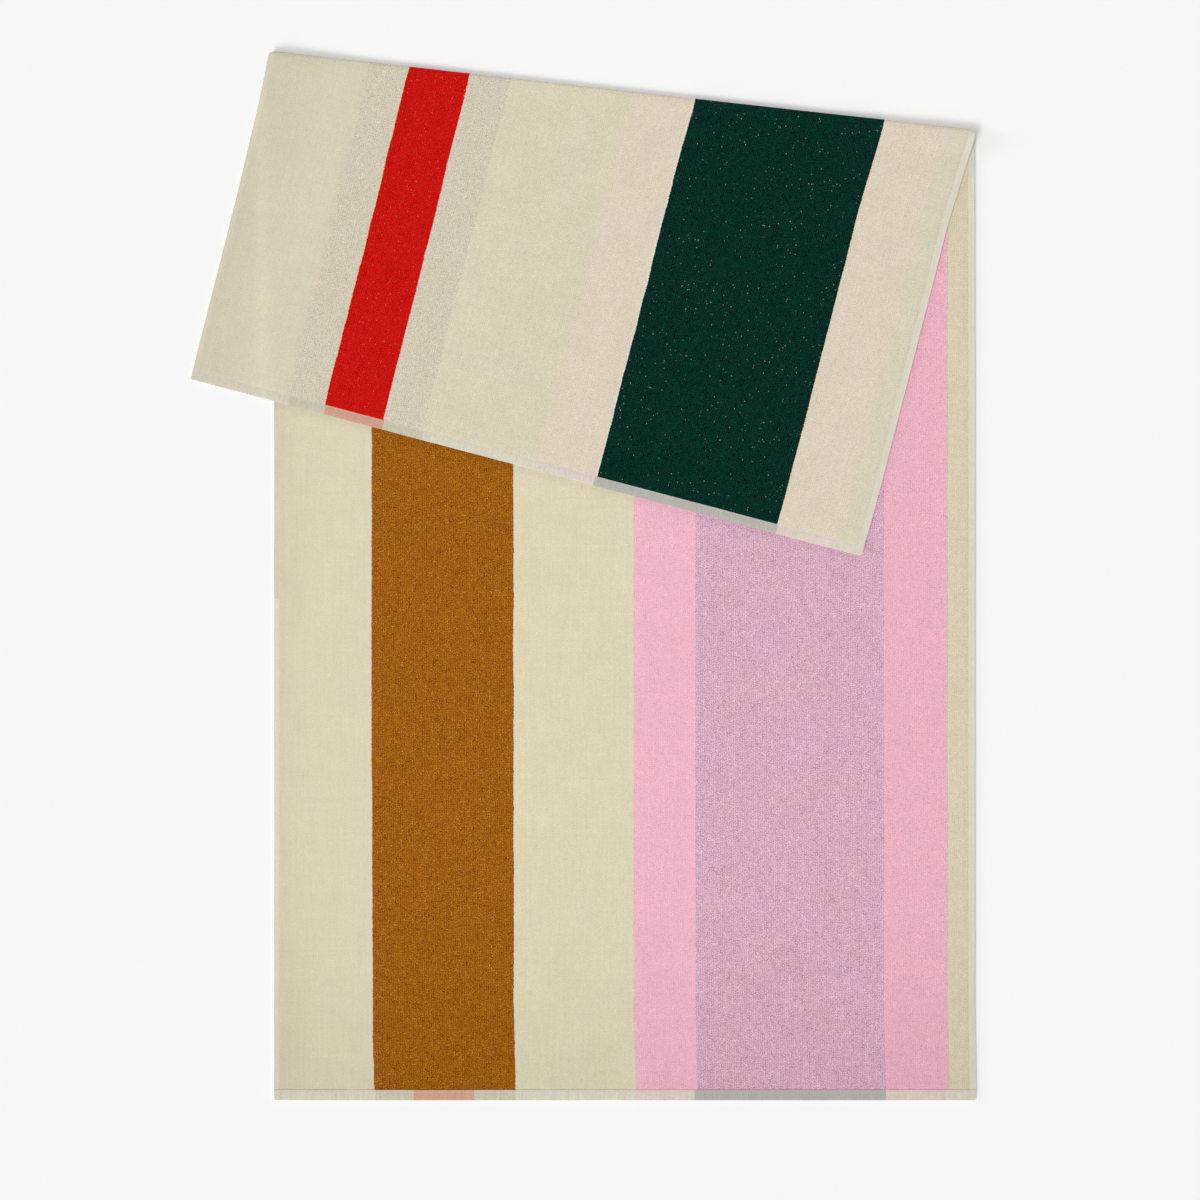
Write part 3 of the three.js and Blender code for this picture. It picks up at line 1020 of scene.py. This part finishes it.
# %% [markdown]
# ## Hem
#
# The hem is woven flat like the selvedge, across the whole width. Without loops the yarns of both
# faces lie side by side, so each stripe shows there as a pale mix of its two colours, with the
# coloured ends as fine lines along the cloth: red and cream make salmon, and dark green and
# lilac make grey.

# %% Turned and stitched hem material
hem_stripes = [
    # right border, colour, blend
    (100.8, "#dfd8c5", 0.6),
    (138.8, "#d3cbb5", 0.6),
    (199.0, "#d8a691", 0.6),
    (240.5, "#d3cbb6", 0.6),
    (359.5, "#e0dac7", 6.0),
    (418.5, "#e0d3ca", 0.8),
    (609.0, "#b8b5ad", 0.8),
    (674.0, "#dfd0c5", 4.0),
    (700.0, "#dcd5c2", 0.4),
]
# How dark the flap's hem is made at its left and at its right end.
flap_hem_shade = (0.865, 1.0)
between_hems = (500 * mm, 900 * mm)


def hem_colour(tree, flat):
    """The mixed colour of each stripe where both faces' yarns lie side by side. On the flap's hem
    it is made darker towards the left."""
    axes = add_node(tree, "SeparateXYZ", None, {"Vector": flat})
    number = stripe_number(tree, axes.outputs["X"], hem_stripes)
    colour = stripe_ramp(tree, number, hem_stripes, 1).outputs["Color"]
    leftward_darkening = add_node(tree, "MapRange", None, {
        "Value": axes.outputs["X"], "From Max": cloth_width,
        "To Min": flap_hem_shade[0], "To Max": flap_hem_shade[1]})
    shade = add_node(tree, "MapRange", None, {
        "Value": axes.outputs["Y"], "From Min": between_hems[0], "From Max": between_hems[1],
        "To Min": 1.0, "To Max": leftward_darkening.outputs[0]})
    return shaded(tree, colour, [shade.outputs[0]])


hem_cloth = flat_weave("turned_hem", hem_colour, 0.04, 0.06)
print(len(hem_stripes), "colours along the hem")

# %% [markdown]
# ## Sewing thread
#
# Hems are sewn with a cream cotton thread that is smoother than the towel, so it has a slight
# gloss. Its twist shows as fine slanting lines.

# %% Thread material
thread_twist = 0.5 * mm


def sewing_thread(name):
    """Twisted cotton thread."""
    material, tree, output = start_material(name)
    place = add_node(tree, "TexCoord")
    counted = add_node(tree, "VectorMath", {"operation": "DIVIDE"},
                       {0: place.outputs["Object"], 1: (thread_twist, thread_twist, thread_twist)})
    twist = add_node(tree, "TexWave", {"bands_direction": "DIAGONAL"},
                     {"Vector": counted.outputs[0], "Scale": 0.5}).outputs["Fac"]
    colour = add_node(tree, "Mix", colour_mix, {
        0: twist, mix_first: linear("#d8d1be"), mix_second: linear("#e6e0ce")})
    bump = add_node(tree, "Bump", None, {"Strength": 0.4, "Distance": 0.05 * mm, "Height": twist})
    shader = add_node(tree, "BsdfPrincipled", None, {
        "Base Color": colour.outputs[mix_result], "Roughness": 0.6, "IOR": 1.45,
        "Normal": bump.outputs[0]})
    tree.links.new(shader.outputs[0], output.inputs["Surface"])
    return material


thread = sewing_thread("cotton_sewing_thread")
# The cloth's faces number their materials in this order.
for material in (terry_front, terry_reverse, selvedge_cloth, hem_cloth):
    towel_cloth.data.materials.append(material)
hem_stitches.data.materials.append(thread)
print("materials:", [material.name for material in bpy.data.materials])

# %% [markdown]
# ## Floor and light
#
# The towel lies on a plain pale floor. Most of the light comes from the front and a little from
# the left, out of two lamps in one direction: a smaller one draws the fold with a short shadow
# behind it, and a wider one softens that shadow's end. A weak lamp from the left softens the right
# edge, and the world fills the rest. A low lamp behind lights the outside of the bend, and a long
# one overhead is brightest over the middle. Those two shine on the towel alone, so the floor stays
# even.
#
# A share is of the light on a level surface. All of the shares together, with the overhead lamp's
# fifth, come to about one, at which a colour looks as it is written. The floor glows by what it
# lacks of that, but only to the camera.

# %% Floor
key_share, key_glow_share, fill_share, world_share, back_share = 0.25, 0.13, 0.07, 0.20, 0.10
floor_colour = "#f7f7f7"
floor_size = 12.0


def build_floor():
    """A wide sheet of matt paper."""
    mesh_maker = bmesh.new()
    bmesh.ops.create_grid(mesh_maker, x_segments=1, y_segments=1, size=floor_size)
    piece = finished_piece("floor", mesh_maker)
    material, tree, output = start_material("matt_paper_floor")
    shader = add_node(tree, "BsdfDiffuse", None, {"Color": linear(floor_colour)})
    ray = add_node(tree, "LightPath")
    lit_share = key_share + key_glow_share + fill_share + world_share
    glow_strength = add_node(tree, "Math", {"operation": "MULTIPLY"}, {
        0: ray.outputs["Is Camera Ray"], 1: linear(floor_colour)[0] * (1.0 - lit_share)})
    glow = add_node(tree, "Emission", None, {"Strength": glow_strength.outputs[0]})
    both = add_node(tree, "AddShader", None, {0: shader.outputs[0], 1: glow.outputs[0]})
    tree.links.new(both.outputs[0], output.inputs["Surface"])
    piece.data.materials.append(material)
    return piece


floor = build_floor()
print("floor", floor_size * 2, "m across")

# %% Lamps and world
suns = {
    # share of the light, width, azimuth and elevation, the last three in degrees
    "front_lamp": (key_share, 20, 36, 41),
    "front_soft_box": (key_glow_share, 50, 36, 41),
    "left_lamp": (fill_share, 18, 92, 16),
    "back_lamp": (back_share, 20, 205, 16),
}
overhead_watts, overhead_aim, overhead_spread = 86.0, Vector((0.055, 0.09, 0.0)), (2.5, 1.0, 1.0)
lamp_distance = 3.0


def hang_lamp(name, kind, strength, settings, azimuth, elevation, aim=Vector()):
    """A lamp that shines at aim from an azimuth, counted clockwise from -Y, and an elevation."""
    lamp = bpy.data.lights.new(name, kind)
    lamp.energy = strength
    for setting, value in settings.items():
        setattr(lamp, setting, value)
    piece = bpy.data.objects.new(name, lamp)
    bpy.context.scene.collection.objects.link(piece)
    turn, rise = math.radians(azimuth), math.radians(elevation)
    level = math.cos(rise)
    way = Vector((-math.sin(turn) * level, -math.cos(turn) * level, math.sin(rise)))
    piece.location = aim + way * lamp_distance
    piece.rotation_euler = way.to_track_quat("Z", "Y").to_euler()
    return piece


def hang_sun(name, share, width, azimuth, elevation):
    """A distant lamp that gives a level surface its share of light. Its width is an angle."""
    strength = share * math.pi / math.sin(math.radians(elevation))
    return hang_lamp(name, "SUN", strength, {"angle": math.radians(width)}, azimuth, elevation)


lamps = {name: hang_sun(name, *sun) for name, sun in suns.items()}
overhead = hang_lamp("overhead_spot", "SPOT", overhead_watts, {
    "spot_size": math.radians(30.0), "spot_blend": 0.75, "shadow_soft_size": 0.15,
}, 0, 90, overhead_aim)
overhead.scale = overhead_spread
towel_alone = bpy.data.collections.new("towel_alone")
for piece in (towel_cloth, hem_stitches):
    towel_alone.objects.link(piece)
for lamp in (overhead, lamps["back_lamp"]):
    lamp.light_linking.receiver_collection = towel_alone

world = bpy.data.worlds.new("studio")
bpy.context.scene.world = world
world.use_nodes = True
world.node_tree.nodes.clear()
ray = add_node(world.node_tree, "LightPath")
seen = add_node(world.node_tree, "MapRange", None, {
    "Value": ray.outputs["Is Camera Ray"], "To Min": world_share,
    "To Max": linear(floor_colour)[0]})
sky = add_node(world.node_tree, "Background", None,
               {"Color": (1.0, 1.0, 1.0, 1.0), "Strength": seen.outputs[0]})
add_node(world.node_tree, "OutputWorld", None, {"Surface": sky.outputs[0]})
bpy.context.scene.view_settings.view_transform = "Standard"

# %% [markdown]
# ## Attaching the pieces
#
# The cloth stands for the CAD node, whose plain solid is hidden, and rides on the root body. The
# stitches ride on the root body too.

for piece in (towel_cloth, hem_stitches):
    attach(piece, "root")
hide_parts("towel")
